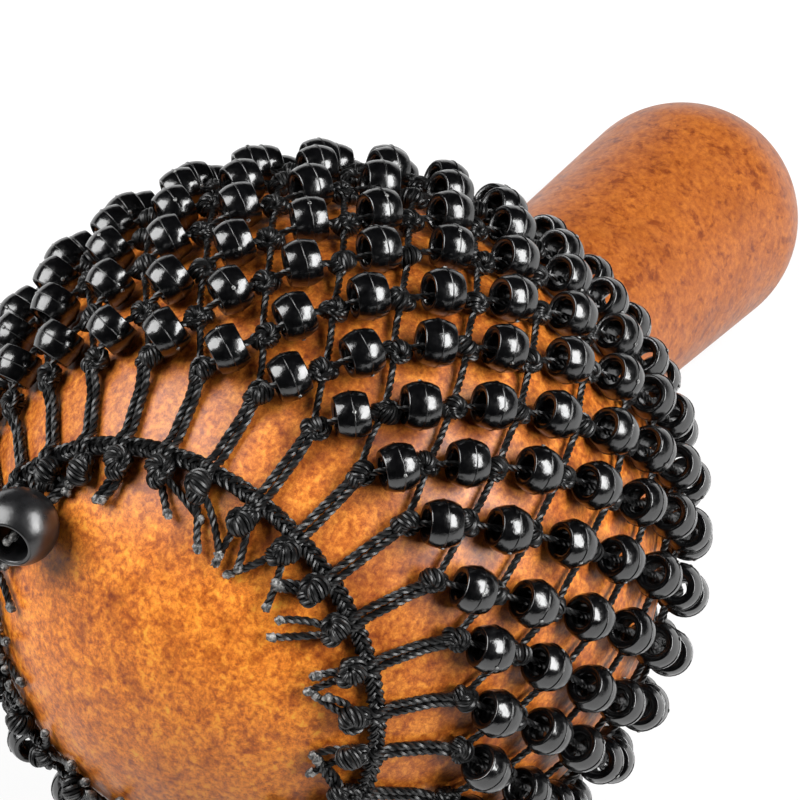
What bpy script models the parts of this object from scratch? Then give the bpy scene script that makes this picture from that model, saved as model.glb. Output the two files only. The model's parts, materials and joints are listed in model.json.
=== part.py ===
"""Cabasa: a moulded gourd body with a loose net of beads tied round its bulb, lying on its side.

Every piece is modelled in the gourd's own frame first: the origin is the bulb's centre and +Z runs
along the axis to the knob. Polar angles start at the bare end of the bulb, opposite the knob. The
empty "cabasa" then lays the whole instrument on its side, on bead net and knob, with +X to the knob.
"""

import math

import bmesh
import bpy
from mathutils import Matrix, Vector

MM = 0.001

# Gourd body
BULB_RADIUS = 65.0 * MM
KNOB_REACH = 145.0 * MM        # bulb centre to knob centre
KNOB_RADIUS = 24.4 * MM
NECK_RADIUS = 22.0 * MM
NECK_FILLET = 25.0 * MM

# Bead net
COLUMNS = 29
ROWS = 9
FIRST_KNOT_ANGLE = math.radians(53.7)
LAST_KNOT_ANGLE = math.radians(135.4)
FIRST_KNOT_TURN = math.radians(129.8)
LEAN = 0.6                     # columns that a beaded strand moves round in one row
BEAD_DIAMETER = 9.0 * MM
BEAD_LENGTH = 6.0 * MM
CORD_DIAMETER = 1.6 * MM
KNOT_DIAMETER = 4.6 * MM
LINK_FOOT = 0.55               # where a bare cord's foot lies, from bead (0) to knot (1)
LEG_DIAMETER = 2.0 * MM        # the two cords side by side between first knots and ring
CLEARANCE = 0.3 * MM

# Cords that close the net
RING_ANGLE = math.radians(40.0)
RING_DIAMETER = 2.5 * MM
TIE_DIAMETER = 3.8 * MM
TAIL_LENGTH = 4.5 * MM
COLLAR_DIAMETER = 3.0 * MM
COLLAR_PLACE = 0.5             # share of the neck fillet, from the bulb to the neck

# Stopper bead on the ring's two cord ends
STOPPER_ANGLE = math.radians(30.0)
STOPPER_DIAMETER = 14.4 * MM
STOPPER_BORE = 8.0 * MM
STOPPER_LEAN = math.radians(48.0)
END_SPACING = 1.9 * MM
END_RECESS = 1.0 * MM          # cord ends stop this far inside the stopper's mouth

# Fineness of the round forms
BODY_SEGMENTS = 32
ARC_STEP = math.radians(13.0)
RING_SEGMENTS = 36
COLLAR_SEGMENTS = 24
CORD_SIDES = 5
STOPPER_SEGMENTS = 14

# A six-sided bead is drawn this much over its round radius, to be as thick as the round one
BEAD_FACETING = 1.05

COLUMN_TURN = math.tau / COLUMNS
ROW_ANGLE = (LAST_KNOT_ANGLE - FIRST_KNOT_ANGLE) / ROWS
BEAD_HEIGHT = CLEARANCE + BEAD_DIAMETER / 2
KNOT_HEIGHT = CLEARANCE + KNOT_DIAMETER / 2
RING_HEIGHT = CLEARANCE + RING_DIAMETER / 2
LEG_HEIGHT = CLEARANCE + LEG_DIAMETER / 2
STOPPER_TURN = FIRST_KNOT_TURN - COLUMN_TURN / 2


def material(name, colour, roughness):
    """Principled material of one colour."""
    made = bpy.data.materials.new(name)
    made.use_nodes = True
    shader = made.node_tree.nodes["Principled BSDF"]
    shader.inputs["Base Color"].default_value = (*colour, 1.0)
    shader.inputs["Roughness"].default_value = roughness
    shader.inputs["Metallic"].default_value = 0.0
    return made


def empty(name, parent=None):
    """Empty that carries other objects."""
    made = bpy.data.objects.new(name, None)
    bpy.context.collection.objects.link(made)
    made.parent = parent
    return made


def finished_mesh(name, bm, crease=math.radians(40.0)):
    """Mesh of a bmesh, closed faces out and shaded smooth up to the crease angle."""
    bmesh.ops.recalc_face_normals(bm, faces=bm.faces)
    mesh = bpy.data.meshes.new(name)
    bm.to_mesh(mesh)
    bm.free()
    mesh.shade_smooth()
    mesh.set_sharp_from_angle(angle=crease)
    return mesh


def place(name, mesh, finish, parent):
    """Object of a mesh under an empty."""
    made = bpy.data.objects.new(name, mesh)
    bpy.context.collection.objects.link(made)
    if not mesh.materials:
        mesh.materials.append(finish)
    made.parent = parent
    return made


def on_bulb(polar, turn, height):
    """Point at a height over the bulb."""
    reach = BULB_RADIUS + height
    return Vector((
        reach * math.sin(polar) * math.cos(turn),
        reach * math.sin(polar) * math.sin(turn),
        -reach * math.cos(polar),
    ))


def arc(centre, radius, start, stop):
    """Points (radius, height) of an arc in the half plane that is turned about the axis."""
    steps = max(2, math.ceil(abs(stop - start) / ARC_STEP))
    angles = [start + (stop - start) * k / steps for k in range(steps + 1)]
    return [(centre[0] + radius * math.cos(a), centre[1] + radius * math.sin(a)) for a in angles]


def turned(outline, segments, closed):
    """Bmesh of an outline (radius, height) turned about Z; a closed outline makes a ring."""
    bm = bmesh.new()
    corners = [bm.verts.new((radius, 0.0, height)) for radius, height in outline]
    pairs = list(zip(corners, corners[1:]))
    if closed:
        pairs.append((corners[-1], corners[0]))
    edges = [bm.edges.new(pair) for pair in pairs]
    bmesh.ops.spin(bm, geom=corners + edges, cent=(0, 0, 0), axis=(0, 0, 1),
                   angle=math.tau, steps=segments, use_merge=True)
    bmesh.ops.remove_doubles(bm, verts=bm.verts, dist=0.001 * MM)
    return bm


def fillet_centre():
    """Centre (radius, height) of the fillet that joins bulb and neck."""
    out = NECK_RADIUS + NECK_FILLET
    return out, math.sqrt((BULB_RADIUS + NECK_FILLET) ** 2 - out ** 2)


def fillet_start():
    """Direction, from the fillet's centre, of its tangent point on the bulb."""
    out, up = fillet_centre()
    return math.atan2(up, out) + math.pi


def handle_taper():
    """Angle to the axis of the handle's side, the line that touches both fillet and knob."""
    out, up = fillet_centre()
    run = KNOB_REACH - up
    return math.asin((KNOB_RADIUS + NECK_FILLET) / math.hypot(run, out)) - math.atan2(out, run)


def gourd_body(finish, parent):
    """Closed body: round bulb, filleted neck and a handle that swells to a domed knob."""
    taper = handle_taper()
    outline = arc((0.0, 0.0), BULB_RADIUS, -math.pi / 2, fillet_start() - math.pi)
    outline += arc(fillet_centre(), NECK_FILLET, fillet_start(), math.pi - taper)[1:]
    outline += arc((0.0, KNOB_REACH), KNOB_RADIUS, -taper, math.pi / 2)
    bm = turned(outline, BODY_SEGMENTS, closed=False)
    return place("gourd_body", finished_mesh("gourd_body", bm), finish, parent)


def cord_loop(name, centre, diameter, segments, finish, parent):
    """Closed cord round the axis; centre is its section's middle (radius, height)."""
    outline = [
        (centre[0] + diameter / 2 * math.cos(math.tau * k / CORD_SIDES),
         centre[1] + diameter / 2 * math.sin(math.tau * k / CORD_SIDES))
        for k in range(CORD_SIDES)
    ]
    bm = turned(outline, segments, closed=True)
    return place(name, finished_mesh(name, bm), finish, parent)


def base_ring(finish, parent):
    """Plaited ring that holds the net round the bare end of the bulb."""
    reach = BULB_RADIUS + RING_HEIGHT
    centre = (reach * math.sin(RING_ANGLE), -reach * math.cos(RING_ANGLE))
    return cord_loop("base_ring", centre, RING_DIAMETER, RING_SEGMENTS, finish, parent)


def collar_centre():
    """Middle (radius, height) of the neck cord's section, seated in the neck fillet."""
    out, up = fillet_centre()
    angle = fillet_start() + (math.pi - fillet_start()) * COLLAR_PLACE
    reach = NECK_FILLET - CLEARANCE - COLLAR_DIAMETER / 2
    return out + reach * math.cos(angle), up + reach * math.sin(angle)


def neck_cord(finish, parent):
    """Cord round the neck that the upper ends of the strands are tied to."""
    return cord_loop("neck_cord", collar_centre(), COLLAR_DIAMETER, COLLAR_SEGMENTS, finish, parent)


def section(bm, centre, along, radius, sides):
    """Three- or six-sided section of a cord, with one corner pair facing the next column."""
    along = along.normalized()
    side = along.cross(centre).normalized()
    rise = side.cross(along)
    corners = range(6) if sides == 6 else range(1, 6, 2)
    turns = [math.tau * k / 6 for k in corners]
    return [bm.verts.new(centre + radius * (side * math.cos(a) + rise * math.sin(a))) for a in turns]


def join(bm, first, second):
    """Faces between two sections; a six-sided one meets a three-sided one in triangles."""
    count = min(len(first), len(second))
    if len(first) == len(second):
        for k in range(count):
            after = (k + 1) % count
            bm.faces.new((first[k], second[k], second[after], first[after]))
        return
    small, large = sorted((first, second), key=len)
    for k in range(count):
        after = (k + 1) % count
        near, middle, far = (large[(2 * k + step) % len(large)] for step in (1, 2, 3))
        bm.faces.new((small[k], near, middle))
        bm.faces.new((small[k], middle, small[after]))
        bm.faces.new((small[after], middle, far))


def knot_place(row, column=0.0):
    """Middle of a knot: row 0 is the first row, columns count round the axis."""
    turn = FIRST_KNOT_TURN + (column + LEAN * row) * COLUMN_TURN
    return on_bulb(FIRST_KNOT_ANGLE + ROW_ANGLE * row, turn, KNOT_HEIGHT)


def bead_ends(row):
    """Middles of a bead's two end faces, on the line between its knots."""
    turn = FIRST_KNOT_TURN + LEAN * (row + 0.5) * COLUMN_TURN
    middle = on_bulb(FIRST_KNOT_ANGLE + ROW_ANGLE * (row + 0.5), turn, BEAD_HEIGHT)
    out = middle.normalized()
    along = knot_place(row + 1) - knot_place(row)
    along = (along - along.dot(out) * out).normalized()
    half = along * BEAD_LENGTH / 2
    return middle - half, middle + half


def leg_route():
    """Stations (middle, diameter) from a cut tail, over the ring, to the first knot's foot.

    Distances run along the bulb from the ring's middle; the hook keeps clear of the ring.
    """
    over = RING_HEIGHT + RING_DIAMETER / 2 + CLEARANCE + CORD_DIAMETER / 2
    beside = RING_DIAMETER / 2 + CLEARANCE
    tie = -(beside + TIE_DIAMETER / 2)
    stations = (
        (tie - TAIL_LENGTH, CLEARANCE + CORD_DIAMETER / 2, CORD_DIAMETER),
        (tie, CLEARANCE + TIE_DIAMETER / 2, TIE_DIAMETER),
        (-beside, over, CORD_DIAMETER),
        (beside, over, CORD_DIAMETER),
        (beside + LEG_DIAMETER, LEG_HEIGHT, LEG_DIAMETER),
    )
    reach = BULB_RADIUS + RING_HEIGHT
    return [(on_bulb(RING_ANGLE + run / reach, FIRST_KNOT_TURN, height), width)
            for run, height, width in stations]


def strand_top():
    """Middle of the strand's upper end, against the neck cord."""
    last = knot_place(ROWS)
    radius, height = collar_centre()
    turn = math.atan2(last.y, last.x)
    collar = Vector((radius * math.cos(turn), radius * math.sin(turn), height))
    back = (last - collar).normalized()
    return collar + back * (COLLAR_DIAMETER / 2 + CLEARANCE)


def link(bm, below, knot, row):
    """Bare three-sided cord from a knot's side back to the next column's knot one row lower.

    It grows out of the knot's two corners that look to the next column and a foot below them. Its
    tip lies half a cord below the line to the next knot, clear of the bead above that knot.
    """
    start = knot_place(row)
    target = knot_place(row - 1, 1.0)
    along = (target - start).normalized()
    tip = target - along * (KNOT_DIAMETER / 2 + CLEARANCE)
    out = (tip - along * tip.dot(along)).normalized()
    footward = along.cross(out)
    tip += footward * CORD_DIAMETER / 2
    foot = bm.verts.new(
        (below[2].co + below[0].co) / 2 * (1 - LINK_FOOT) + (knot[2].co + knot[0].co) / 2 * LINK_FOOT
    )
    root = (knot[0], knot[2], foot)
    turns = [math.tau * k / 3 for k in (1, 2, 0)]
    end = [bm.verts.new(tip + CORD_DIAMETER / 2 * (footward * math.cos(a) + out * math.sin(a)))
           for a in turns]
    for corners in ((below[0], knot[0], foot), (below[2], foot, knot[2]), (below[0], foot, below[2])):
        bm.faces.new(corners)
    join(bm, root, end)
    bm.faces.new(end)


def strand_mesh():
    """One beaded strand: tail, hook over the ring, leg, knots with beads between, upper end.

    Its knots also carry the bare cords that tie it to the next strand.
    """
    bm = bmesh.new()
    route = leg_route()
    route.append((knot_place(0), KNOT_DIAMETER))
    middles = [middle for middle, width in route]
    previous = None
    for k, (middle, width) in enumerate(route):
        before = middles[max(k - 1, 0)]
        after = middles[k + 1] if k + 1 < len(middles) else bead_ends(0)[0]
        ring = section(bm, middle, after - before, width / 2, 3)
        if previous:
            join(bm, previous, ring)
        else:
            bm.faces.new(ring)
        previous = ring
    for row in range(ROWS):
        low, high = bead_ends(row)
        along = high - low
        cord_in = section(bm, low, along, CORD_DIAMETER / 2, 3)
        rim_in = section(bm, low, along, BEAD_DIAMETER / 2 * BEAD_FACETING, 6)
        rim_out = section(bm, high, along, BEAD_DIAMETER / 2 * BEAD_FACETING, 6)
        cord_out = section(bm, high, along, CORD_DIAMETER / 2, 3)
        following = bead_ends(row + 1)[0] if row + 1 < ROWS else strand_top()
        knot = section(bm, knot_place(row + 1), following - high, KNOT_DIAMETER / 2, 3)
        for first, second in zip((previous, cord_in, rim_in, rim_out), (cord_in, rim_in, rim_out, cord_out)):
            join(bm, first, second)
        for side in (0, 1):
            bm.faces.new((cord_out[side], knot[side], knot[side + 1], cord_out[side + 1]))
        link(bm, cord_out, knot, row + 1)
        previous = knot
    top = section(bm, strand_top(), strand_top() - knot_place(ROWS), LEG_DIAMETER / 2, 3)
    join(bm, previous, top)
    bm.faces.new(top)
    return finished_mesh("net_strand", bm)


def net_strands(finish, parent):
    """All strands: one mesh, turned round the axis column by column."""
    mesh = strand_mesh()
    for column in range(COLUMNS):
        strand = place(f"net_strand_{column + 1:02d}", mesh, finish, parent)
        strand.rotation_euler.z = COLUMN_TURN * column


def stopper_frame():
    """Middle of the stopper, its bore's direction and the direction across, midway between strands."""
    middle = on_bulb(STOPPER_ANGLE, STOPPER_TURN, CLEARANCE + STOPPER_DIAMETER / 2)
    out = middle.normalized()
    across = Vector((-math.sin(STOPPER_TURN), math.cos(STOPPER_TURN), 0.0))
    inward = across.cross(out)
    if inward.z > 0:
        inward.negate()
    along = inward * math.cos(STOPPER_LEAN) + out * math.sin(STOPPER_LEAN)
    return middle, along, across


def stopper_half_length():
    """Half the bore's length: the ball's cap is cut where the bore leaves it."""
    return math.sqrt((STOPPER_DIAMETER / 2) ** 2 - (STOPPER_BORE / 2) ** 2)


def stopper_bead(finish, parent):
    """Bored ball that grips the ring's cord ends; its origin is on its sliding axis."""
    mouth = math.atan2(stopper_half_length(), STOPPER_BORE / 2)
    outline = arc((0.0, 0.0), STOPPER_DIAMETER / 2, -mouth, mouth)
    bm = turned(outline, STOPPER_SEGMENTS, closed=True)
    bead = place("stopper_bead", finished_mesh("stopper_bead", bm), finish, parent)
    middle, along, _ = stopper_frame()
    bead.matrix_local = Matrix.Translation(middle) @ along.to_track_quat("Z", "Y").to_matrix().to_4x4()
    return bead


def ring_ends(finish, parent):
    """The ring's two cord ends, side by side from the ring into the stopper's bore."""
    middle, along, across = stopper_frame()
    beside = (RING_DIAMETER / 2 + CLEARANCE) / (BULB_RADIUS + RING_HEIGHT)
    at_ring = on_bulb(RING_ANGLE - beside, STOPPER_TURN, RING_HEIGHT)
    mouth = stopper_half_length()
    under = middle - along * (mouth + CORD_DIAMETER)
    tip = middle + along * (mouth - END_RECESS)
    for number, share in ((1, -0.5), (2, 0.5)):
        bm = bmesh.new()
        shift = across * END_SPACING * share
        previous = None
        for place_at, direction in ((at_ring, under - at_ring), (under, tip - at_ring), (tip, along)):
            ring = section(bm, place_at + shift, direction, CORD_DIAMETER / 2, 6)
            if previous:
                join(bm, previous, ring)
            else:
                bm.faces.new(ring)
            previous = ring
        bm.faces.new(previous)
        name = f"ring_end_{number}"
        place(name, finished_mesh(name, bm), finish, parent)


def lay_down(root):
    """Lay the instrument on net and knob, with the middle of its box over the origin."""
    net_reach = BULB_RADIUS + CLEARANCE + BEAD_DIAMETER
    tilt = math.asin((net_reach - KNOB_RADIUS) / KNOB_REACH)
    root.rotation_euler.y = math.pi / 2 + tilt
    bpy.context.view_layer.update()
    points = [made.matrix_world @ vertex.co
              for made in root.children_recursive if made.type == "MESH"
              for vertex in made.data.vertices]
    low = [min(point[axis] for point in points) for axis in range(3)]
    high = [max(point[axis] for point in points) for axis in range(3)]
    root.location = (-(low[0] + high[0]) / 2, -(low[1] + high[1]) / 2, -low[2])
    bpy.context.view_layer.update()


def main():
    for old in list(bpy.data.objects):
        bpy.data.objects.remove(old, do_unlink=True)
    amber = material("amber_lacquer", (0.50, 0.19, 0.045), 0.25)
    bead_black = material("gloss_black", (0.012, 0.012, 0.013), 0.18)
    cord_black = material("black_cord", (0.015, 0.015, 0.016), 0.6)
    stopper_black = material("satin_black", (0.02, 0.02, 0.022), 0.4)
    root = empty("cabasa")
    gourd_body(amber, root)
    net = empty("bead_net", root)
    base_ring(cord_black, net)
    neck_cord(cord_black, net)
    net_strands(bead_black, net)
    ring_ends(cord_black, net)
    stopper_bead(stopper_black, net)
    lay_down(root)


main()
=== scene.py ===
"""Cabasa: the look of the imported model, a lacquered gourd in a net of black beads on a pale floor.

Shapes are worked out in the gourd's own frame, in metres: the origin is the bulb's centre, +Z runs
along the axis to the knob, and polar angles start at the bare end of the bulb. The net's hinge in
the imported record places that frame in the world. The net itself is laid out by rows of knots, that
count from the bare end, and by columns, one for each beaded strand.
"""

import json
import math

import bpy
import numpy as np
from mathutils import Matrix, Vector


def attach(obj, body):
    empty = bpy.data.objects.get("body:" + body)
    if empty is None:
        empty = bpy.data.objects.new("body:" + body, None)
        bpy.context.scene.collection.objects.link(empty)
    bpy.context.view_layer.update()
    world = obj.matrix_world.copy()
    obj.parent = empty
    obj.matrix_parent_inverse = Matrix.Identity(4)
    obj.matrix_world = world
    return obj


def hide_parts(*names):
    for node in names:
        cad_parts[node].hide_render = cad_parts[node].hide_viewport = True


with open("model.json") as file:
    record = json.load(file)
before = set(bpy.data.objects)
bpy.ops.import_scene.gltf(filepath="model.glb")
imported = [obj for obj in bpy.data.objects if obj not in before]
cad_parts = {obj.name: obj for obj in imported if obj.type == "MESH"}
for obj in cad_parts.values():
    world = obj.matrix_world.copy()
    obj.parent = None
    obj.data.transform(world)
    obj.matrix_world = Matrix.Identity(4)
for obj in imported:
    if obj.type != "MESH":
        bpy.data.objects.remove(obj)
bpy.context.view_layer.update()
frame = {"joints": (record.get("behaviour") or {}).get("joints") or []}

MM = 0.001

# Gourd
BULB_RADIUS = 65.0 * MM
KNOB_REACH = 145.0 * MM
KNOB_RADIUS = 24.4 * MM
NECK_RADIUS = 22.0 * MM
NECK_FILLET = 25.0 * MM
POLE_RADIUS = 0.3 * MM
GOURD_SEGMENTS = 160
OUTLINE_STEP = math.radians(2.5)
SHARP_ANGLE = math.radians(66.0)

# Layout of the net
COLUMNS = 29
ROWS = 9
NET_SEED = 7
STRAND_SEED = 100
FIRST_KNOT_ANGLE = math.radians(53.7)
LAST_KNOT_ANGLE = math.radians(135.4)
FIRST_KNOT_TURN = math.radians(129.8)
LEAN = 0.6
COLUMN_TURN = math.tau / COLUMNS
ROW_ANGLE = (LAST_KNOT_ANGLE - FIRST_KNOT_ANGLE) / ROWS
KNOT_HEIGHT = 2.6 * MM
KNOT_WANDER = 0.55 * MM
TIE_WANDER = math.radians(1.1)

# Beads; the seam's profile is (depth, height), as shares of its rise and its half width
BEAD_RADIUS = 4.55 * MM
BEAD_CREST = 3.4 * MM
BEAD_HALF = 3.05 * MM
BEAD_HOLE = 2.1 * MM
BEAD_MOUTH = 0.9 * MM
MOUTH_STEPS = 5
BEAD_EDGE = 0.32 * MM
EDGE_START = math.radians(64.0)
EDGE_STOP = math.radians(15.0)
EDGE_STEP = math.radians(17.0)
BEAD_BELLY = 0.16 * MM
BELLY_SHARES = (0.25, 0.5, 0.75, 1.0)
SEAM_HALF = 0.15 * MM
SEAM_RISE = 0.16 * MM
SEAM_FOOT = 1.25
SEAM_PROFILE = ((1.0, 1.0), (0.25, 0.7), (0.0, 0.25))
BEAD_HEIGHT = 4.8 * MM
BEAD_SEGMENTS = 32
BEAD_SLIDE = 0.45 * MM
BEAD_TILT = math.radians(6.0)
GATE_RADIUS = 0.4 * MM
GATE_RISE = 0.16 * MM
GATE_DOME = 1.03
GATE_STEPS = 6
GATE_SIDES = 8

# Cords; a ply's lay and radius and the pitch are shares of the cord's width
CORD = 1.45 * MM
LEG_CORD = 1.6 * MM
PLIES = 3
PLY_LAY = 0.2675
PLY_RADIUS = 0.2325
CORD_PITCH = 2.75
PLY_SIDES = 5
THREAD_RISE = 1.2 * MM
THREAD_FULLNESS = 0.6
THREAD_STEPS = 18
LINK_DIP = 0.7 * MM
LINK_BOW = 0.45 * MM
LINK_STEPS = 25

# Knots: lobes of wrapped ribs, and the band across
KNOT_STEPS = 14
KNOT_HUB = 1.0 * MM
KNOT_REACH = 1.12 * MM
KNOT_RISE = 1.55 * MM
KNOT_ARC = math.radians(140.0)
KNOT_THREAD = 0.315 * MM
KNOT_SPACING = 0.69 * MM
KNOT_SWIRL = 0.35
KNOT_TILT = math.radians(52.0)
KNOT_SWAY = math.radians(18.0)
RIB_WANDER = 0.16
RIB_SWELL = (0.9, 1.08)
RIB_THICKNESS = (0.88, 1.1)
RIB_TAPER = 0.6
LOBE_OFFSET = 1.55 * MM
LOBE_SIZE = 0.72
LOBE_SHIFT = 1.3
LOBE_SINK = 0.3 * MM
BAND_CORD = 1.15 * MM
BAND_REACH = 2.05 * MM
BAND_PLACE = math.radians(24.0)
BAND_ARC = math.radians(85.0)
BAND_DIVE = 0.3
BAND_STEPS = 15

# Plaited ring round the bare end
RING_ANGLE = math.radians(40.0)
RING_HEIGHT = 1.55 * MM
RING_REACH = BULB_RADIUS + RING_HEIGHT
RING_WAVES = 53
PLAIT_STRANDS = 3
PLAIT_REACH = 1.15 * MM
PLAIT_RISE = 0.45 * MM
PLAIT_LAY = 0.38 * MM
PLAIT_PLY = 0.34 * MM
PLAIT_PITCH = 17.0 * MM
PLAIT_STEPS = 16

# Ties on the ring and their legs
TIE_PLACE = -3.7 * MM
TIE_HEIGHT = 2.9 * MM
TIE_SIZE = 1.16
LEG_OVER = 3.25 * MM
LEG_LOW = 1.05 * MM
LEG_HUMP = 1.9 * MM
LEG_KNOT_RUN = 12.5 * MM
LEG_KNOT_EASE = 0.8 * MM
LEG_TIE_RUN = -2.6 * MM
LEG_TIE_EASE = 0.35 * MM
LEG_APART = 0.82 * MM
LEG_CLOSING = 0.35
LEG_PINCH = 0.8
LEG_STEPS = 42

# Cut tails of the ties, shorter and swung away beside the stopper, and their melted tips
TAIL_SHORT = 6.0 * MM
TAIL_LONG = 11.5 * MM
TAIL_SPREAD = math.radians(62.0)
TAIL_FORK = (0.05, 0.45)
TAIL_CURL = 0.6
TAIL_LIFT = 1.6 * MM
TAIL_APART = 0.5 * MM
TAIL_DROP = 5.0
TAIL_STEPS = 16
SIDE_TAIL = 5.0 * MM
SIDE_SWING = 0.9
SIDE_FORK = 0.2
TIP_RADIUS = 0.85 * MM
TIP_HALF = 0.8 * MM
TIP_WANDER = 0.15 * MM
TIP_DOME = 1.05
TIP_SWELL = (0.82, 1.1)
TIP_STEPS = 9
TIP_SIDES = 8

# Cord round the neck, and the strands' loops on it
COLLAR_PLACE = 0.5
COLLAR_CLEAR = 0.3 * MM
COLLAR_RADIUS = 1.5 * MM
COLLAR_WAVES = 31
LOOP_OVER = 0.8 * MM
LOOP_BEHIND = 1.0 * MM
LOOP_OUT = 0.2 * MM
LOOP_CLOSES = 0.9
LOOP_STEPS = 34

# Stopper bead on the ring's two ends; its lip is (share of the lip's width, drop)
STOPPER_ANGLE = math.radians(30.0)
STOPPER_TURN = FIRST_KNOT_TURN - COLUMN_TURN / 2
STOPPER_RADIUS = 7.2 * MM
STOPPER_HEIGHT = 7.5 * MM
STOPPER_BORE = 4.0 * MM
STOPPER_LIP = 0.8 * MM
LIP_PROFILE = ((0.88, 0.16 * MM), (0.66, 0.04 * MM), (0.3, 0.0), (0.1, 0.12 * MM), (0.0, 0.45 * MM))
STOPPER_LEAN = math.radians(48.0)
STOPPER_STEP = math.radians(5.0)
STOPPER_SEGMENTS = 64
END_SPACING = 1.9 * MM
END_RECESS = 2.0 * MM
END_INSET = 0.8 * MM
END_LIFT = 0.4 * MM
END_BEND = 0.4
END_STEPS = 40

# Lacquer: heights along the axis, as shares of the knob's reach, between which it changes
WHITE = (1.0, 1.0, 1.0)
RING_FADE = (-0.38, -0.33)
BULB_FADE = (0.0, 0.5)
HANDLE_FADE = (0.3, 0.6)
# Paler lacquer inside the ring: partly its own tone, partly painted light standing in for a fill light
# that the lamps don't give the bare end
BARE_END_TONE_AND_LIGHT = (1.34, 1.36, 1.12)
HANDLE_TINT = (0.72, 0.65, 0.70)

# Floor and room
FLOOR_HALF = 6.0
FLOOR_GREY = (0.24, 0.24, 0.24, 1.0)
FLOOR_ROUGHNESS = 0.9
FLOOR_PALE = (0.9, 0.9, 0.9, 1.0)
FLOOR_GLOW = 1.06
GLOW_SHARE = 0.72
ROOM_LIGHT = 0.01

# Camera, from the bulb's centre
CAMERA_PLACE = Vector((-0.47152, -0.32278, 0.82116))
CAMERA_LOOK = Vector((0.49631, 0.32107, -0.80659))
CAMERA_ANGLE = math.radians(8.665)

# Soft boxes: direction in camera axes (right, up, back), distance, width, height and power in watts
LEFT_BOX = ((-0.74, 0.46, 0.48), 1.0, 0.85, 0.70, 13.4)
RIGHT_BOX = ((0.72, 0.20, 0.64), 1.0, 0.46, 0.95, 16.0)


def unit(vectors):
    """Vectors of length one."""
    return vectors / np.linalg.norm(vectors, axis=-1, keepdims=True)


def squared(vectors, normals):
    """Vectors of length one, made square to normals."""
    return unit(vectors - normals * np.sum(vectors * normals, axis=-1, keepdims=True))


def turn_pair(first, second, angle):
    """Two square directions turned together, the first towards the second."""
    return (first * np.cos(angle) + second * np.sin(angle),
            second * np.cos(angle) - first * np.sin(angle))


def gourd_frame():
    """The bulb's centre and the gourd's X, Y and Z axes in the world."""
    hinge = next(joint for joint in frame["joints"] if joint["name"] == "net_turn")
    along = unit(np.array(hinge["axis"]))
    across = np.array((0.0, 1.0, 0.0))
    return np.array(hinge["pos_m"]), np.array((np.cross(across, along), across, along))


CENTRE, AXES = gourd_frame()


class Shape:
    """Points and faces of one piece, gathered from closed parts."""

    def __init__(self):
        self.points = []
        self.faces = []
        self.grain = []
        self.count = 0

    def add(self, points, faces, grain=None):
        """Take in a part; its faces are arrays of corners, its grain follows the fibres."""
        points = points.reshape(-1, 3)
        self.points.append(points)
        self.faces.extend(face + self.count for face in faces)
        self.grain.append(np.zeros_like(points) if grain is None else grain.reshape(-1, 3))
        self.count += len(points)


def placed(name, data):
    """New object of some data, linked to the scene."""
    made = bpy.data.objects.new(name, data)
    bpy.context.scene.collection.objects.link(made)
    return made


def make_piece(name, shape, material, body, slot, *nodes):
    """Object of a shape that rides on a body and stands for the given nodes."""
    points = CENTRE + np.concatenate(shape.points) @ AXES
    corners = np.concatenate([face.ravel() for face in shape.faces])
    sizes = np.concatenate([np.full(len(face), face.shape[1]) for face in shape.faces])
    mesh = bpy.data.meshes.new(name)
    mesh.vertices.add(len(points))
    mesh.vertices.foreach_set("co", points.astype(np.float32).ravel())
    mesh.loops.add(len(corners))
    mesh.loops.foreach_set("vertex_index", corners.astype(np.int32))
    mesh.polygons.add(len(sizes))
    mesh.polygons.foreach_set("loop_start", (np.cumsum(sizes) - sizes).astype(np.int32))
    mesh.update(calc_edges=True)
    mesh.validate()
    grain = mesh.attributes.new("grain", "FLOAT_VECTOR", "POINT")
    grain.data.foreach_set("vector", np.concatenate(shape.grain).astype(np.float32).ravel())
    mesh.shade_smooth()
    mesh.set_sharp_from_angle(angle=SHARP_ANGLE)
    mesh.materials.append(material)
    piece = placed(name, mesh)
    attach(piece, body)
    if nodes:
        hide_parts(*nodes)


def on_bulb(polar, turn, height):
    """Points at a height over the bulb."""
    reach = BULB_RADIUS + height
    return np.stack(np.broadcast_arrays(
        reach * np.sin(polar) * np.cos(turn),
        reach * np.sin(polar) * np.sin(turn),
        -reach * np.cos(polar),
    ), axis=-1)


def spun(section, turn):
    """Points of a section (radius, height) at a turn about the axis."""
    return np.stack(np.broadcast_arrays(
        section[..., 0] * np.cos(turn),
        section[..., 0] * np.sin(turn),
        section[..., 1],
    ), axis=-1)


def smooth(points, share):
    """Places on a smooth curve through points, at shares of its length from 0 to 1."""
    ends = np.concatenate((points[:1] * 2 - points[1:2], points, points[-1:] * 2 - points[-2:-1]))
    at = share * (len(points) - 1)
    k = np.minimum(at.astype(int), len(points) - 2)
    t = (at - k)[:, None]
    a, b, c, d = ends[k], ends[k + 1], ends[k + 2], ends[k + 3]
    return 0.5 * (2 * b + (c - a) * t + (2 * a - 5 * b + 4 * c - d) * t ** 2
                  + (3 * b - a - 3 * c + d) * t ** 3)


def carry(paths):
    """Two directions across each path, turned along it as little as possible."""
    tangents = unit(np.gradient(paths, axis=1))
    rise = np.empty_like(paths)
    first = tangents[:, 0]
    rise[:, 0] = unit(np.cross(first, np.eye(3)[np.abs(first).argmin(axis=-1)]))
    for step in range(1, paths.shape[1]):
        rise[:, step] = squared(rise[:, step - 1], tangents[:, step])
    return rise, np.cross(tangents, rise)


def run_along(paths):
    """Distance along each path at every step."""
    steps = np.linalg.norm(np.diff(paths, axis=1), axis=-1)
    return np.concatenate((np.zeros((len(paths), 1)), np.cumsum(steps, axis=1)), axis=1)


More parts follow.
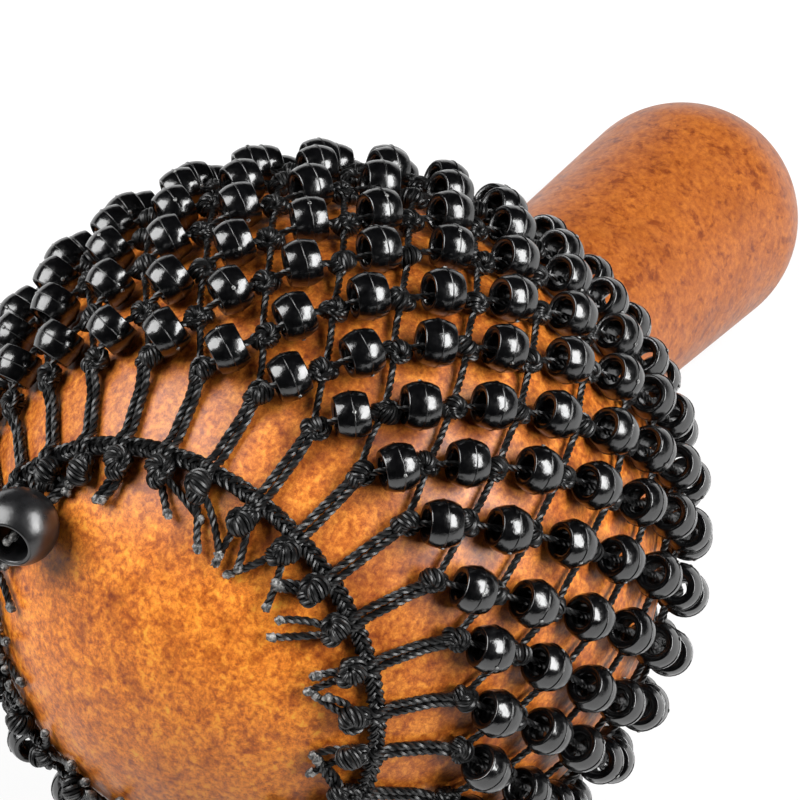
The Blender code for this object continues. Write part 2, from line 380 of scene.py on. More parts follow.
def sweep(shape, paths, radius, sides):
    """Add closed tubes round a batch of paths (tube, step, xyz)."""
    count, steps = paths.shape[:2]
    rise, side = carry(paths)
    turn = np.arange(sides) * math.tau / sides
    radius = np.broadcast_to(radius, (count, steps))[..., None, None]
    ring = rise[:, :, None] * np.cos(turn)[:, None] + side[:, :, None] * np.sin(turn)[:, None]
    index = np.arange(count * steps * sides).reshape(count, steps, sides)
    low, high = index[:, :-1], index[:, 1:]
    quads = np.stack((low, np.roll(low, -1, 2), np.roll(high, -1, 2), high), axis=-1)
    run = np.broadcast_to(run_along(paths)[..., None], (count, steps, sides))
    grain = np.stack(np.broadcast_arrays(np.cos(turn), np.sin(turn), run / MM), axis=-1)
    shape.add(
        paths[:, :, None] + ring * radius,
        (quads.reshape(-1, 4), index[:, 0, ::-1], index[:, -1]),
        grain,
    )


def bundle(shape, paths, lay, radius, pitch, phase=0.0):
    """Add three plies that wind round each path at a distance, one turn for each pitch."""
    rise, side = carry(paths)
    turns = run_along(paths) / pitch
    for ply in range(PLIES):
        angle = ((turns + ply / PLIES) * math.tau + phase)[..., None]
        lines = paths + lay * (rise * np.cos(angle) + side * np.sin(angle))
        sweep(shape, lines, radius, PLY_SIDES)


def twisted(shape, paths, width, phase):
    """Add laid cords of three plies."""
    bundle(shape, paths, width * PLY_LAY, width * PLY_RADIUS, width * CORD_PITCH, phase)


def arc(centre, radius, start, stop, step=OUTLINE_STEP):
    """Points (radius, height) of an arc."""
    angles = np.linspace(start, stop, max(2, math.ceil(abs(stop - start) / step)) + 1)
    return [(centre[0] + radius * math.cos(a), centre[1] + radius * math.sin(a)) for a in angles]


def turned(outline, segments):
    """Points (segment, corner, xyz) of an outline (radius, height) turned about Z, quads and indices."""
    turn = np.arange(segments)[:, None] * math.tau / segments
    points = spun(np.array(outline), turn)
    index = np.arange(points.shape[0] * points.shape[1]).reshape(points.shape[:2])
    after = np.roll(index, -1, axis=0)
    quads = np.stack((index[:, :-1], after[:, :-1], after[:, 1:], index[:, 1:]), axis=-1)
    return points, quads.reshape(-1, 4), index


def closed_turn(outline, segments):
    """Points and faces of a closed outline, such as a bored bead's, turned about Z."""
    points, quads, index = turned(outline, segments)
    first, last = index[:, 0], index[:, -1]
    closing = np.stack((last, np.roll(last, -1), np.roll(first, -1), first), axis=-1)
    return points.reshape(-1, 3), (quads, closing)


def fillet_centre():
    """Centre (radius, height) of the fillet that joins bulb and neck."""
    out = NECK_RADIUS + NECK_FILLET
    return out, math.sqrt((BULB_RADIUS + NECK_FILLET) ** 2 - out ** 2)


def fillet_start():
    """Direction, from the fillet's centre, of its tangent point on the bulb."""
    out, up = fillet_centre()
    return math.atan2(up, out) + math.pi


def handle_taper():
    """Angle to the axis of the handle's side, the line that touches both fillet and knob."""
    out, up = fillet_centre()
    run = KNOB_REACH - up
    return math.asin((KNOB_RADIUS + NECK_FILLET) / math.hypot(run, out)) - math.atan2(out, run)


def gourd():
    """Smooth body with a closed, barely visible flat at both poles."""
    taper = handle_taper()
    pole = POLE_RADIUS / BULB_RADIUS
    tip = POLE_RADIUS / KNOB_RADIUS
    outline = arc((0.0, 0.0), BULB_RADIUS, pole - math.pi / 2, fillet_start() - math.pi)
    outline += arc(fillet_centre(), NECK_FILLET, fillet_start(), math.pi - taper)[1:]
    outline += arc((0.0, KNOB_REACH), KNOB_RADIUS, -taper, math.pi / 2 - tip)
    points, quads, index = turned(outline, GOURD_SEGMENTS)
    shape = Shape()
    shape.add(points, (quads, index[::-1, 0][None], index[:, -1][None]), points / KNOB_REACH)
    make_piece("gourd", shape, amber_lacquer(), "gourd", "amber_lacquer", "gourd_body")


def knot_angles(rng):
    """Polar angles and turns of all knots (row, column), each a little off its regular place."""
    rows = np.arange(ROWS + 1)[:, None]
    columns = np.arange(COLUMNS)[None]
    wander = rng.uniform(-KNOT_WANDER, KNOT_WANDER, (2, ROWS + 1, COLUMNS)) / BULB_RADIUS
    polar = FIRST_KNOT_ANGLE + ROW_ANGLE * rows + wander[0]
    turn = FIRST_KNOT_TURN + (columns + LEAN * rows) * COLUMN_TURN + wander[1] / np.sin(polar)
    return polar, turn


def bead_outline():
    """Closed section (radius, height) of a moulded bead: bore, mouth, edge, belly and raised seam."""
    half = [(BEAD_HOLE, 0.0)]
    for angle in np.linspace(math.pi, math.pi / 2, MOUTH_STEPS):
        half.append((BEAD_CREST + (BEAD_CREST - BEAD_HOLE) * math.cos(angle),
                     BEAD_HALF + BEAD_MOUTH * (math.sin(angle) - 1)))
    half += arc((BEAD_CREST, BEAD_HALF - BEAD_EDGE), BEAD_EDGE, EDGE_START, EDGE_STOP, EDGE_STEP)
    start = np.array(half[-1])
    stop = np.array((BEAD_RADIUS - SEAM_RISE, SEAM_HALF * SEAM_FOOT))
    for share in BELLY_SHARES:
        belly = BEAD_BELLY * 4 * share * (1 - share)
        half.append(tuple(start + (stop - start) * share + np.array((belly, 0.0))))
    half += [(BEAD_RADIUS - SEAM_RISE * depth, SEAM_HALF * height) for depth, height in SEAM_PROFILE]
    return half + [(radius, -height) for radius, height in reversed(half[1:])]


def beads(column, polar, turn, material, rng):
    """Beads of one strand, threaded between its knots, with the moulding's gate on the seam."""
    low = on_bulb(polar[:-1, column], turn[:-1, column], KNOT_HEIGHT)
    high = on_bulb(polar[1:, column], turn[1:, column], KNOT_HEIGHT)
    out = unit(low + high)
    along = squared(high - low, out)
    slide = rng.uniform(-BEAD_SLIDE, BEAD_SLIDE, (ROWS, 1))
    sway = rng.uniform(-BEAD_TILT, BEAD_TILT, (ROWS, 1))
    middle = out * (BULB_RADIUS + BEAD_HEIGHT) + along * slide
    along = along * np.cos(sway) + np.cross(out, along) * np.sin(sway)
    side = np.cross(out, along)
    points, faces = closed_turn(bead_outline(), BEAD_SEGMENTS)
    shape = Shape()
    for row in range(ROWS):
        shape.add(middle[row] + points @ np.array((side[row], out[row], along[row])), faces)
    gate = rng.uniform(0.0, math.tau, (ROWS, 1))
    spoke = side * np.cos(gate) + out * np.sin(gate)
    reach = np.linspace(-1.0, 1.0, GATE_STEPS)
    stem = middle[:, None] + spoke[:, None] * (BEAD_RADIUS + reach[:, None] * GATE_RISE)
    sweep(shape, stem, GATE_RADIUS * np.sqrt(GATE_DOME - reach ** 2), GATE_SIDES)
    name = f"net_strand_{column + 1:02d}"
    make_piece(f"beads_{column + 1:02d}", shape, material, "bead_net", "gloss_black", name)


def spans(starts, ends, height, bow=0.0):
    """Paths over the bulb between points, at a height for each step and bowed to one side."""
    share = np.linspace(0.0, 1.0, len(height))[None, :, None]
    out = unit(starts[:, None] * (1 - share) + ends[:, None] * share)
    side = unit(np.cross(ends - starts, starts + ends))[:, None]
    return out * (BULB_RADIUS + height[None, :, None]) + side * bow * np.sin(math.pi * share)


def threads(shape, knots, rng):
    """Cord through the beads, low in their holes."""
    share = np.linspace(0.0, 1.0, THREAD_STEPS)
    height = KNOT_HEIGHT + THREAD_RISE * np.sin(math.pi * share) ** THREAD_FULLNESS
    paths = spans(knots[:-1], knots[1:], height)
    twisted(shape, paths, CORD, rng.uniform(0.0, math.tau))


def links(shape, knots, beside, rng):
    """Bare cords from this strand's knots back to the next strand's, one row lower."""
    share = np.linspace(0.0, 1.0, LINK_STEPS)
    height = KNOT_HEIGHT - LINK_DIP * np.sin(math.pi * share)
    bow = rng.uniform(-LINK_BOW, LINK_BOW, (ROWS, 1, 1))
    paths = spans(knots[1:], beside[:-1], height, bow)
    twisted(shape, paths, CORD, rng.uniform(0.0, math.tau))


def wrap_lobe(shape, middles, axes, size, rng):
    """Balls of plies that come out of an eye, wrap round and go back in at the far side."""
    first, second, eye = (axis[:, None] for axis in axes)
    count = len(middles)
    wrap = np.linspace(-KNOT_ARC, KNOT_ARC, KNOT_STEPS)
    reach = size * (KNOT_HUB + KNOT_REACH * np.cos(wrap))
    thread = KNOT_THREAD * size ** 0.5 * (reach / reach.max()) ** RIB_TAPER
    ribs = round(math.tau * reach.max() / (KNOT_SPACING * size ** 0.5))
    depth = size * (KNOT_RISE * np.sin(wrap))[:, None] * eye
    for rib in range(ribs):
        angle = (rib + rng.normal(0.0, RIB_WANDER, (count, 1))) * math.tau / ribs + KNOT_SWIRL * wrap
        swell = rng.uniform(*RIB_SWELL, (count, 1)) * reach
        flat = first * (swell * np.cos(angle))[..., None] + second * (swell * np.sin(angle))[..., None]
        thickness = thread * rng.uniform(*RIB_THICKNESS, (count, 1))
        sweep(shape, middles[:, None] + flat + depth, thickness, PLY_SIDES)


def knots_of(shape, middles, along, size, rng):
    """Tight knots: two lobes of wrapped plies, one behind the other, and a band across the larger."""
    count = len(middles)
    out = unit(middles)
    along = squared(along, out)
    swing = rng.uniform(-2.0, 2.0, (count, 1)) * KNOT_SWAY
    side = np.cross(out, along) * rng.choice((-1.0, 1.0), (count, 1))
    along, side = turn_pair(along, side, swing)
    tilt = KNOT_TILT + rng.uniform(-1.0, 1.0, (count, 1)) * KNOT_SWAY
    shift = LOBE_OFFSET * size * rng.choice((-0.5, 0.5), (count, 1)) * along
    larger = middles - shift
    eye, low = turn_pair(out, side, tilt)
    wrap_lobe(shape, larger, (along, low, eye), size, rng)
    smaller = middles + shift * LOBE_SHIFT - out * LOBE_SINK
    eye, near = turn_pair(out, along, tilt)
    wrap_lobe(shape, smaller, (near, side, eye), size * LOBE_SIZE, rng)
    top, _ = turn_pair(out, side, tilt + BAND_PLACE)
    bend = np.linspace(-BAND_ARC, BAND_ARC, BAND_STEPS)[:, None]
    dive = BAND_REACH * (1 - BAND_DIVE * (bend / BAND_ARC) ** 4)
    arch = top[:, None] * np.cos(bend) + along[:, None] * np.sin(bend)
    band = larger[:, None] + size * dive * arch
    twisted(shape, band, size * BAND_CORD, rng.uniform(0.0, math.tau))


def leg_height(run):
    """Height over the bulb of a leg, by its distance from the ring's middle."""
    hump = (LEG_OVER - LEG_LOW) * np.exp(-(run / LEG_HUMP) ** 2)
    knot = (KNOT_HEIGHT - LEG_LOW) / (1 + np.exp((LEG_KNOT_RUN - run) / LEG_KNOT_EASE))
    tie = (TIE_HEIGHT - LEG_LOW) / (1 + np.exp((run - LEG_TIE_RUN) / LEG_TIE_EASE))
    return LEG_LOW + hump + knot + tie


def legs(shape, polar, turn, tie_turn, rng):
    """The two cords from a tie, over the ring, to the first knot."""
    end = (polar - RING_ANGLE) * RING_REACH
    run = np.linspace(TIE_PLACE, end, LEG_STEPS)
    angle = RING_ANGLE + run / RING_REACH
    share = np.clip(run / end, 0.0, 1.0)
    middle = tie_turn + (turn - tie_turn) * share
    apart = LEG_APART * (1 - LEG_CLOSING * share ** 3) * np.where(run < 0, LEG_PINCH, 1.0)
    sides = np.array((-1.0, 1.0))[:, None]
    paths = on_bulb(angle, middle + sides * apart / (RING_REACH * np.sin(angle)), leg_height(run))
    twisted(shape, paths, LEG_CORD, rng.uniform(0.0, math.tau))


def melted_tip(tips, path, rng):
    """Lumpy cap of molten cord over a path's cut end."""
    out = unit(path[-1] - path[-3])
    reach = np.linspace(-1.0, 1.0, TIP_STEPS)
    lumps = rng.uniform(-TIP_WANDER, TIP_WANDER, (TIP_STEPS, 3))
    places = path[-1] + out * reach[:, None] * TIP_HALF + lumps
    dome = np.sqrt(TIP_DOME - np.maximum(reach, 0.0) ** 2)
    swell = TIP_RADIUS * dome * rng.uniform(*TIP_SWELL, TIP_STEPS)
    sweep(tips, places[None], swell, TIP_SIDES)


def tails(shape, tips, column, tie_turn, rng):
    """Cut ends of a tie: two short cords over the bare end, each with a melted tip."""
    away = {0: 1.0, COLUMNS - 1: -1.0}.get(column)
    common = rng.uniform(-TAIL_SPREAD, TAIL_SPREAD)
    share = np.linspace(0.0, 1.0, TAIL_STEPS)
    for side in (-1.0, 1.0):
        length = rng.uniform(TAIL_SHORT, TAIL_LONG)
        swing = common + side * rng.uniform(*TAIL_FORK)
        curl = rng.uniform(-TAIL_CURL, TAIL_CURL)
        lift = rng.uniform(0.0, TAIL_LIFT)
        if away:
            length = SIDE_TAIL
            swing = away * (SIDE_SWING + side * SIDE_FORK)
        heading = swing + curl * share
        forward = np.cumsum(np.cos(heading)) / TAIL_STEPS * length
        sideways = np.cumsum(np.sin(heading)) / TAIL_STEPS * length + side * TAIL_APART
        angle = RING_ANGLE + (TIE_PLACE - forward) / RING_REACH
        height = LEG_LOW + (TIE_HEIGHT - LEG_LOW) * np.exp(-share * TAIL_DROP) + lift * share ** 2
        path = on_bulb(angle, tie_turn + sideways / (RING_REACH * np.sin(angle)), height)
        twisted(shape, path[None], LEG_CORD, rng.uniform(0.0, math.tau))
        melted_tip(tips, path, rng)


def plait(shape, places, across, outward, waves):
    """Closed three-strand plait along a ring of places."""
    phase = np.linspace(0.0, math.tau, len(places)) * waves
    lines = []
    for strand in range(PLAIT_STRANDS):
        angle = (phase + strand * math.tau / PLAIT_STRANDS)[:, None]
        lines.append(places + (across * PLAIT_REACH * np.sin(angle)
                               + outward * PLAIT_RISE * np.sin(2 * angle)))
    bundle(shape, np.array(lines), PLAIT_LAY, PLAIT_PLY, PLAIT_PITCH)


def base_ring(material):
    """Plaited ring round the bare end."""
    turn = np.linspace(0.0, math.tau, RING_WAVES * PLAIT_STEPS + 1)
    places = on_bulb(RING_ANGLE, turn, RING_HEIGHT)
    outward = unit(places)
    across = np.cross(np.stack((-np.sin(turn), np.cos(turn), 0 * turn), axis=-1), outward)
    shape = Shape()
    plait(shape, places, across, outward, RING_WAVES)
    make_piece("plaited_ring", shape, material, "bead_net", "black_cord", "base_ring")


def collar_section():
    """Middle (radius, height) of the neck cord and its two directions, outward and to the knob."""
    out, up = fillet_centre()
    angle = fillet_start() + (math.pi - fillet_start()) * COLLAR_PLACE
    away = np.array((math.cos(angle), math.sin(angle)))
    middle = np.array((out, up)) + away * (NECK_FILLET - COLLAR_CLEAR - COLLAR_RADIUS)
    return middle, -away, np.array((away[1], -away[0]))


def neck_cord(material):
    """Plaited cord round the neck, through the loops of the strands."""
    turn = np.linspace(0.0, math.tau, COLLAR_WAVES * PLAIT_STEPS + 1)
    middle, outward, knobward = (spun(section, turn) for section in collar_section())
    shape = Shape()
    plait(shape, middle, knobward, outward, COLLAR_WAVES)
    make_piece("neck_plait", shape, material, "bead_net", "black_cord", "neck_cord")


def neck_loop(shape, polar, turn, rng):
    """A strand's upper end: one cord from the last knot, round the neck cord and back."""
    middle, outward, knobward = collar_section()
    reach = BULB_RADIUS + KNOT_HEIGHT
    start = np.array((reach * math.sin(polar), -reach * math.cos(polar)))
    over = middle + outward * (COLLAR_RADIUS + LOOP_OVER)
    behind = middle + knobward * (COLLAR_RADIUS + LOOP_BEHIND) + outward * LOOP_OUT
    share = np.linspace(0.0, 1.0, LOOP_STEPS)
    bend = smooth(np.array((start, start + (over - start) * 0.5, over, behind)), share)
    closing = np.clip((share - LOOP_CLOSES) / (1 - LOOP_CLOSES), 0.0, 1.0)
    apart = LEG_APART * np.sqrt(1 - closing ** 2)
    sections = np.concatenate((bend, bend[-2::-1]))
    offset = np.concatenate((apart, -apart[-2::-1])) / sections[:, 0]
    twisted(shape, spun(sections, turn + offset)[None], LEG_CORD, rng.uniform(0.0, math.tau))


def strand_cords(column, polar, turn, tie_turn, tips, material):
    """All cords of one strand: tie, legs, knots, threads, links and the loop at the neck."""
    rng = np.random.default_rng(STRAND_SEED + column)
    every_knot = on_bulb(polar, turn, KNOT_HEIGHT)
    knots = every_knot[:, column]
    shape = Shape()
    threads(shape, knots, rng)
    links(shape, knots, every_knot[:, (column + 1) % COLUMNS], rng)
    knots_of(shape, knots, np.gradient(knots, axis=0), 1.0, rng)
    legs(shape, polar[0, column], turn[0, column], tie_turn[column], rng)
    tie = on_bulb(RING_ANGLE + TIE_PLACE / RING_REACH, tie_turn[column], TIE_HEIGHT)
    knots_of(shape, tie[None], knots[:1] - tie, TIE_SIZE, rng)
    tails(shape, tips, column, tie_turn[column], rng)
    neck_loop(shape, polar[ROWS, column], turn[ROWS, column], rng)
    make_piece(f"cords_{column + 1:02d}", shape, material, "bead_net", "black_cord")


def stopper_frame():
    """Middle of the stopper and its axes: across, over and along its bore."""
    middle = on_bulb(STOPPER_ANGLE, STOPPER_TURN, STOPPER_HEIGHT)
    out = unit(middle)
    across = np.array((-math.sin(STOPPER_TURN), math.cos(STOPPER_TURN), 0.0))
    inward = np.cross(across, out)
    inward *= -np.sign(inward[2])
    along = inward * math.cos(STOPPER_LEAN) + out * math.sin(STOPPER_LEAN)
    return middle, np.array((across, np.cross(along, across), along))


def stopper():
    """Bored satin ball with softened mouths."""
    mouth = math.acos((STOPPER_BORE + STOPPER_LIP) / STOPPER_RADIUS)
    half = STOPPER_RADIUS * math.sin(mouth)
    lip = [(STOPPER_BORE + share * STOPPER_LIP, half - drop) for share, drop in LIP_PROFILE]
    outline = arc((0.0, 0.0), STOPPER_RADIUS, -mouth, mouth, STOPPER_STEP)
    outline += lip + [(STOPPER_BORE, 0.0)] + [(radius, -height) for radius, height in reversed(lip)]
    points, faces = closed_turn(outline, STOPPER_SEGMENTS)
    middle, axes = stopper_frame()
    shape = Shape()
    shape.add(middle + points @ axes, faces)
    make_piece("stopper", shape, satin_black(), "stopper", "satin_black", "stopper_bead")


def ring_ends(tips, material, rng):
    """The ring's two ends, side by side from the ring into the stopper's bore, with melted tips."""
    middle, (across, _, along) = stopper_frame()
    at_ring = on_bulb(RING_ANGLE - END_INSET / BULB_RADIUS, STOPPER_TURN, RING_HEIGHT + END_LIFT)
    half = math.sqrt(STOPPER_RADIUS ** 2 - STOPPER_BORE ** 2)
    under = middle - along * (half + CORD)
    inside = middle - along * half * END_BEND
    tip = middle + along * (half - END_RECESS)
    path = smooth(np.array((at_ring, under, inside, tip)), np.linspace(0.0, 1.0, END_STEPS))
    for number, side in ((1, -0.5), (2, 0.5)):
        shape = Shape()
        beside = path + across * END_SPACING * side
        twisted(shape, beside[None], LEG_CORD, number)
        melted_tip(tips, beside, rng)
        name = f"ring_end_cord_{number}"
        make_piece(name, shape, material, "bead_net", "black_cord", f"ring_end_{number}")


def net():
    """Beads and cords of all strands, ring and collar, and the melted tips of the cut cords."""
    rng = np.random.default_rng(NET_SEED)
    polar, turn = knot_angles(rng)
    tie_turn = turn[0] + rng.uniform(-TIE_WANDER, TIE_WANDER, COLUMNS)
    plastic = bead_plastic()
    cord = black_cord()
    tips = Shape()
    for column in range(COLUMNS):
        beads(column, polar, turn, plastic, rng)
        strand_cords(column, polar, turn, tie_turn, tips, cord)
    base_ring(cord)
    neck_cord(cord)
    ring_ends(tips, cord, rng)
    make_piece("melted_tips", tips, melted_nylon(), "bead_net", "black_cord")


def new_material(name):
    """Material with its tree and its Principled shader."""
    made = bpy.data.materials.new(name)
    made.use_nodes = True
    return made, made.node_tree, made.node_tree.nodes["Principled BSDF"]


def coordinates(tree, attribute=None):
    """Output socket of the object's own coordinates, or of a mesh attribute."""
    if attribute:
        node = tree.nodes.new("ShaderNodeAttribute")
        node.attribute_name = attribute
        return node.outputs["Vector"]
    return tree.nodes.new("ShaderNodeTexCoord").outputs["Object"]


def noise(tree, vector, scale, detail=2.0, roughness=0.5, distortion=0.0):
    """Output socket of a noise texture."""
    node = tree.nodes.new("ShaderNodeTexNoise")
    node.inputs["Scale"].default_value = scale
    node.inputs["Detail"].default_value = detail
    node.inputs["Roughness"].default_value = roughness
    node.inputs["Distortion"].default_value = distortion
    tree.links.new(vector, node.inputs["Vector"])
    return node.outputs["Fac"]


def stretched(tree, vector, scale):
    """Output socket of coordinates scaled differently along each axis."""
    node = tree.nodes.new("ShaderNodeMapping")
    node.inputs["Scale"].default_value = scale
    tree.links.new(vector, node.inputs["Vector"])
    return node.outputs["Vector"]


def ramp(tree, factor, *stops):
    """Output socket of a colour ramp through (place, colour) stops."""
    node = tree.nodes.new("ShaderNodeValToRGB")
    elements = node.color_ramp.elements
    while len(elements) < len(stops):
        elements.new(0.5)
    for element, (place, colour) in zip(elements, stops):
        element.position = place
        element.color = (*colour, 1.0)
    tree.links.new(factor, node.inputs["Fac"])
    return node.outputs["Color"]


def spread(tree, value, given, wanted):
    """Output socket of a value mapped from a given range to a wanted one, and held inside it."""
    node = tree.nodes.new("ShaderNodeMapRange")
    for name, number in zip(("From Min", "From Max", "To Min", "To Max"), (*given, *wanted)):
        node.inputs[name].default_value = number
    tree.links.new(value, node.inputs["Value"])
    return node.outputs["Result"]


def mixed(tree, blend, factor, first, second):
    """Output socket of two colours mixed and held under white; the factor is a number or a socket."""
    node = tree.nodes.new("ShaderNodeMix")
    node.data_type = "RGBA"
    node.blend_type = blend
    node.clamp_result = True
    if isinstance(factor, float):
        node.inputs[0].default_value = factor
    else:
        tree.links.new(factor, node.inputs[0])
    tree.links.new(first, node.inputs[6])
    tree.links.new(second, node.inputs[7])
    return node.outputs[2]


def total(tree, first, second):
    """Output socket of a sum."""
    node = tree.nodes.new("ShaderNodeMath")
    node.operation = "ADD"
    tree.links.new(first, node.inputs[0])
    tree.links.new(second, node.inputs[1])
    return node.outputs[0]


def bump(tree, shader, height, strength, distance):
    """Bump on a shader's normal."""
    node = tree.nodes.new("ShaderNodeBump")
    node.inputs["Strength"].default_value = strength
    node.inputs["Distance"].default_value = distance
    tree.links.new(height, node.inputs["Height"])
    tree.links.new(node.outputs["Normal"], shader.inputs["Normal"])


def surface(tree, shader, colour, roughness, specular=0.5):
    """Link a shader's colour and roughness, and set its specular level."""
    tree.links.new(colour, shader.inputs["Base Color"])
    tree.links.new(roughness, shader.inputs["Roughness"])
    shader.inputs["Specular IOR Level"].default_value = specular


def amber_lacquer():
    """Mottled amber with clouds and flecks, paler inside the ring (partly painted fill light on the bare
    end), darker and softer on the handle.
    """
    made, tree, shader = new_material("amber_lacquer")
    place = coordinates(tree)
    split = tree.nodes.new("ShaderNodeSeparateXYZ")
    tree.links.new(coordinates(tree, "grain"), split.inputs[0])
    height = split.outputs["Z"]
    speckle = noise(tree, place, scale=780.0, detail=5.0, roughness=0.74, distortion=0.2)
    mottle = ramp(
        tree, speckle,
        (0.33, (0.27, 0.054, 0.009)),
        (0.44, (0.50, 0.124, 0.017)),
        (0.53, (0.66, 0.194, 0.026)),
        (0.66, (0.88, 0.325, 0.046)),
    )
    softer = ramp(tree, speckle, (0.33, (0.42, 0.105, 0.015)), (0.66, (0.72, 0.24, 0.033)))
    colour = mixed(tree, "MIX", spread(tree, height, HANDLE_FADE, (0.0, 0.75)), mottle, softer)
    specks = noise(tree, place, scale=330.0, detail=4.0, roughness=0.62, distortion=0.5)
    flecks = ramp(tree, specks, (0.36, (0.52, 0.36, 0.28)), (0.47, WHITE))
    colour = mixed(tree, "MULTIPLY", spread(tree, height, BULB_FADE, (0.7, 0.85)), colour, flecks)
    drifts = noise(tree, place, scale=80.0, detail=5.0, roughness=0.6, distortion=1.2)
    clouds = ramp(
        tree, drifts,
        (0.33, (0.50, 0.38, 0.30)),
        (0.46, (0.92, 0.88, 0.84)),
        (0.62, (1.14, 1.20, 1.16)),
    )
    colour = mixed(tree, "MULTIPLY", spread(tree, height, BULB_FADE, (0.75, 0.35)), colour, clouds)
    handle = ramp(tree, height, (HANDLE_FADE[0], WHITE), (HANDLE_FADE[1], HANDLE_TINT))
    colour = mixed(tree, "MULTIPLY", 1.0, colour, handle)
    # Paler inside the ring: partly the lacquer's own tone, partly painted fill light on the bare end
    inside_ring = spread(tree, height, RING_FADE, (1.0, 0.0))
    bare_end_tone_and_light = ramp(tree, inside_ring, (0.0, WHITE), (1.0, BARE_END_TONE_AND_LIGHT))
    colour = mixed(tree, "MULTIPLY", 1.0, colour, bare_end_tone_and_light)
    surface(tree, shader, colour, spread(tree, noise(tree, place, scale=220.0), (0.3, 0.7), (0.36, 0.46)))
    bump(tree, shader, noise(tree, place, scale=500.0, detail=3.0), 0.12, 0.08 * MM)
    return made


def bead_plastic():
    """Glossy black moulded plastic with a faint grain, and pale where the gate was cut."""
    made, tree, shader = new_material("bead_plastic")
    place = coordinates(tree)
    black = noise(tree, place, scale=700.0, detail=3.0)
    tone = ramp(tree, black, (0.35, (0.001, 0.001, 0.0012)), (0.7, (0.0025, 0.0025, 0.003)))
    scar = noise(tree, place, scale=2500.0, detail=3.0)
    cut = ramp(tree, scar, (0.4, (0.02, 0.02, 0.02)), (0.6, (0.32, 0.32, 0.31)))
    gate = tree.nodes.new("ShaderNodeVectorMath")
    gate.operation = "LENGTH"
    tree.links.new(coordinates(tree, "grain"), gate.inputs[0])
    on_gate = spread(tree, gate.outputs["Value"], (0.5, 0.9), (0.0, 1.0))
    colour = mixed(tree, "MIX", on_gate, tone, cut)
    dull = noise(tree, place, scale=900.0, detail=3.0, roughness=0.6)
    surface(tree, shader, colour, spread(tree, dull, (0.35, 0.7), (0.13, 0.25)), specular=1.0)
    bump(tree, shader, noise(tree, place, scale=1500.0, detail=3.0), 0.5, 0.08 * MM)
    return made


def black_cord():
    """Twisted nylon: fibres along each ply, dark between and greyer on top."""
    made, tree, shader = new_material("black_cord")
    fibres = stretched(tree, coordinates(tree, "grain"), (3.2, 3.2, 0.9))
    grain = noise(tree, fibres, scale=1.0, detail=3.0, roughness=0.6)
    tone = ramp(tree, grain, (0.35, (0.001, 0.001, 0.0011)), (0.7, (0.004, 0.004, 0.0043)))
    surface(tree, shader, tone, spread(tree, grain, (0.3, 0.7), (0.43, 0.34)), specular=0.6)
    bump(tree, shader, grain, 0.2, 0.1 * MM)
    return made


def melted_nylon():
    """Singed cord ends, black to milky grey."""
    made, tree, shader = new_material("melted_nylon")
    place = coordinates(tree)
    tone = ramp(
        tree, noise(tree, place, scale=900.0, detail=3.0, roughness=0.6),
        (0.36, (0.012, 0.012, 0.012)),
        (0.5, (0.10, 0.10, 0.098)),
        (0.66, (0.42, 0.41, 0.39)),
    )
    surface(tree, shader, tone, spread(tree, noise(tree, place, scale=1300.0), (0.3, 0.7), (0.22, 0.5)))
    bump(tree, shader, noise(tree, place, scale=1600.0, detail=3.0), 0.5, 0.2 * MM)
    return made


def satin_black():
    """Satin black ball with a fine grain."""
    made, tree, shader = new_material("satin_black")
    place = coordinates(tree)
    black = noise(tree, place, scale=500.0, detail=3.0)
    tone = ramp(tree, black, (0.35, (0.006, 0.006, 0.0065)), (0.7, (0.012, 0.012, 0.013)))
    dull = noise(tree, place, scale=350.0, detail=3.0)
    surface(tree, shader, tone, spread(tree, dull, (0.3, 0.7), (0.26, 0.34)), specular=0.85)
    bump(tree, shader, noise(tree, place, scale=1100.0, detail=3.0), 0.4, 0.08 * MM)
    return made


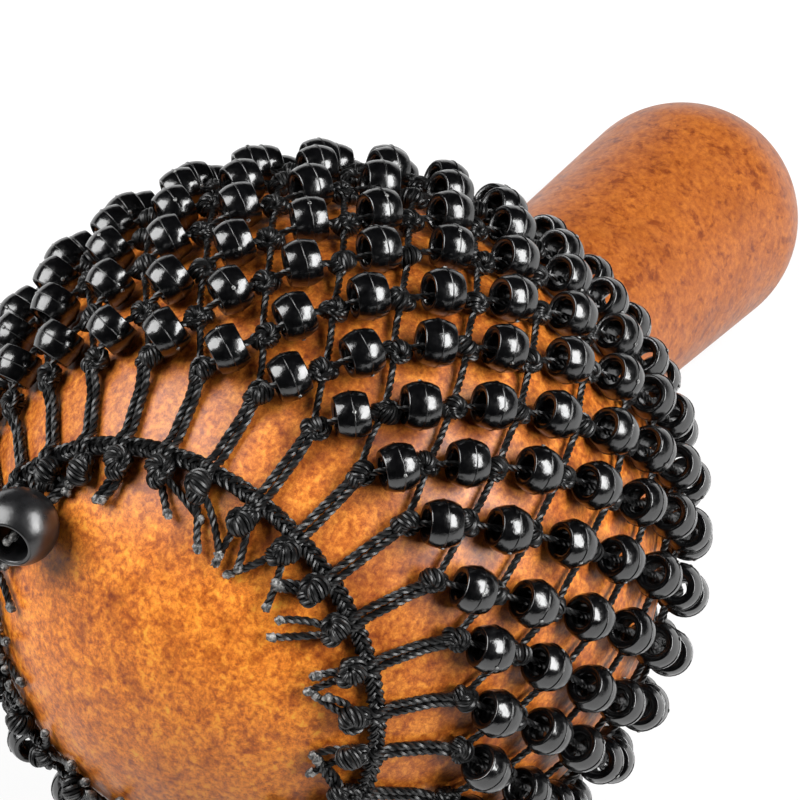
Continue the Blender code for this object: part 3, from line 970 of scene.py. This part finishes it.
def white_floor():
    """Floor that lights the object as grey, and that camera and reflections see white and shadowed."""
    made, tree, shader = new_material("white_floor")
    shader.inputs["Base Color"].default_value = FLOOR_GREY
    shader.inputs["Roughness"].default_value = FLOOR_ROUGHNESS
    shader.inputs["Specular IOR Level"].default_value = 0.0
    pale = tree.nodes.new("ShaderNodeBsdfDiffuse")
    pale.inputs["Color"].default_value = FLOOR_PALE
    glow = tree.nodes.new("ShaderNodeEmission")
    glow.inputs["Strength"].default_value = FLOOR_GLOW
    white = tree.nodes.new("ShaderNodeMixShader")
    white.inputs[0].default_value = GLOW_SHARE
    tree.links.new(pale.outputs[0], white.inputs[1])
    tree.links.new(glow.outputs[0], white.inputs[2])
    path = tree.nodes.new("ShaderNodeLightPath")
    seen = total(tree, path.outputs["Is Camera Ray"], path.outputs["Is Glossy Ray"])
    blend = tree.nodes.new("ShaderNodeMixShader")
    tree.links.new(total(tree, seen, path.outputs["Is Transmission Ray"]), blend.inputs[0])
    tree.links.new(shader.outputs[0], blend.inputs[1])
    tree.links.new(white.outputs[0], blend.inputs[2])
    tree.links.new(blend.outputs[0], tree.nodes["Material Output"].inputs["Surface"])
    return made


def floor():
    """Large plain floor under the object."""
    corners = [(x * FLOOR_HALF, y * FLOOR_HALF, 0.0) for x, y in ((-1, -1), (1, -1), (1, 1), (-1, 1))]
    mesh = bpy.data.meshes.new("floor")
    mesh.from_pydata(corners, [], [(0, 1, 2, 3)])
    mesh.materials.append(white_floor())
    placed("floor", mesh)


def camera():
    """Camera at the photograph's viewing angle; returns its axes right, up and back."""
    data = bpy.data.cameras.new("camera")
    data.angle = CAMERA_ANGLE
    made = placed("camera", data)
    made.location = Vector(CENTRE) + CAMERA_PLACE
    made.rotation_euler = CAMERA_LOOK.to_track_quat("-Z", "Y").to_euler()
    bpy.context.scene.camera = made
    return made.rotation_euler.to_matrix()


def soft_box(name, view, settings):
    """Upright area lamp that faces the bulb."""
    direction, distance, width, height, power = settings
    data = bpy.data.lights.new(name, "AREA")
    data.shape = "RECTANGLE"
    data.size = width
    data.size_y = height
    data.energy = power
    away = (view @ Vector(direction)).normalized()
    level = view.col[1].cross(away).normalized()
    facing = Matrix((level, away.cross(level), away)).transposed().to_4x4()
    placed(name, data).matrix_world = Matrix.Translation(Vector(CENTRE) + away * distance) @ facing


def studio():
    """Camera, two soft boxes, a dim room and the floor."""
    view = camera()
    soft_box("left_box", view, LEFT_BOX)
    soft_box("right_box", view, RIGHT_BOX)
    world = bpy.data.worlds.new("room")
    world.use_nodes = True
    background = world.node_tree.nodes["Background"]
    background.inputs["Color"].default_value = (*WHITE, 1.0)
    background.inputs["Strength"].default_value = ROOM_LIGHT
    bpy.context.scene.world = world
    bpy.context.scene.view_settings.view_transform = "Standard"
    floor()


studio()
gourd()
net()
stopper()
